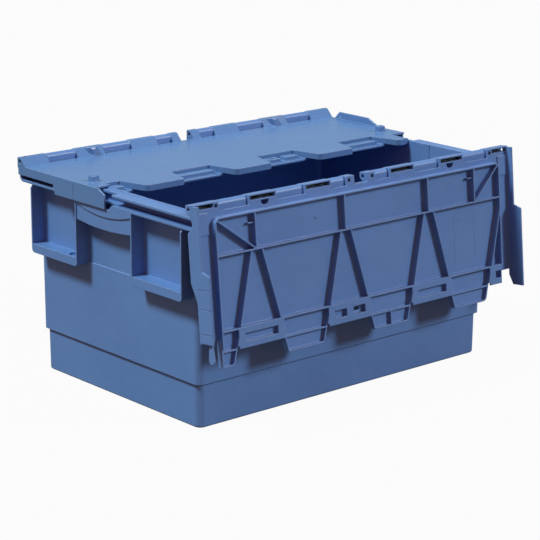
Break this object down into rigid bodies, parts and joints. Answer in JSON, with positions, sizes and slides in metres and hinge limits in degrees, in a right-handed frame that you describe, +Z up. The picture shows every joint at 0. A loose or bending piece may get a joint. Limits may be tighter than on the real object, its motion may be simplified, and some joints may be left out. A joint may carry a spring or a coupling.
{
  "type": "attached-lid transport box",
  "caption": "Stackable tote with two interlocking hinged half lids, one hanging open and one closed, end pockets, hand grips and steel hinge rods.",
  "frame": {"origin": "centre of the tote's flat underside, on the surface that the box stands on", "axes": "+X along the long side, +Z up out of the mouth, -Y towards the side whose lid hangs open"},
  "size_m": [0.6, 0.4469, 0.3209],
  "materials": {
    "tote_plastic": "satin moulded polypropylene, blue",
    "lid_plastic": "satin moulded polypropylene, blue, slightly glossier on top",
    "rod_steel": "dull drawn steel"
  },
  "bodies": {
    "container": {"container_body": "tote_plastic", "hinge_rod_front_left": "rod_steel", "hinge_rod_front_right": "rod_steel", "hinge_rod_rear_left": "rod_steel", "hinge_rod_rear_right": "rod_steel"},
    "front_lid": {"front_lid": "lid_plastic"},
    "rear_lid": {"rear_lid": "lid_plastic"}
  },
  "joints": [
    {"name": "front_lid_hinge", "type": "hinge", "parent": "container", "child": "front_lid", "pos_m": [0, -0.194, 0.314], "axis": [1, 0, 0], "range_deg": [-264.5, 0]},
    {"name": "rear_lid_hinge", "type": "hinge", "parent": "container", "child": "rear_lid", "pos_m": [0, 0.194, 0.314], "axis": [-1, 0, 0], "range_deg": [0, 264.5]}
  ]
}
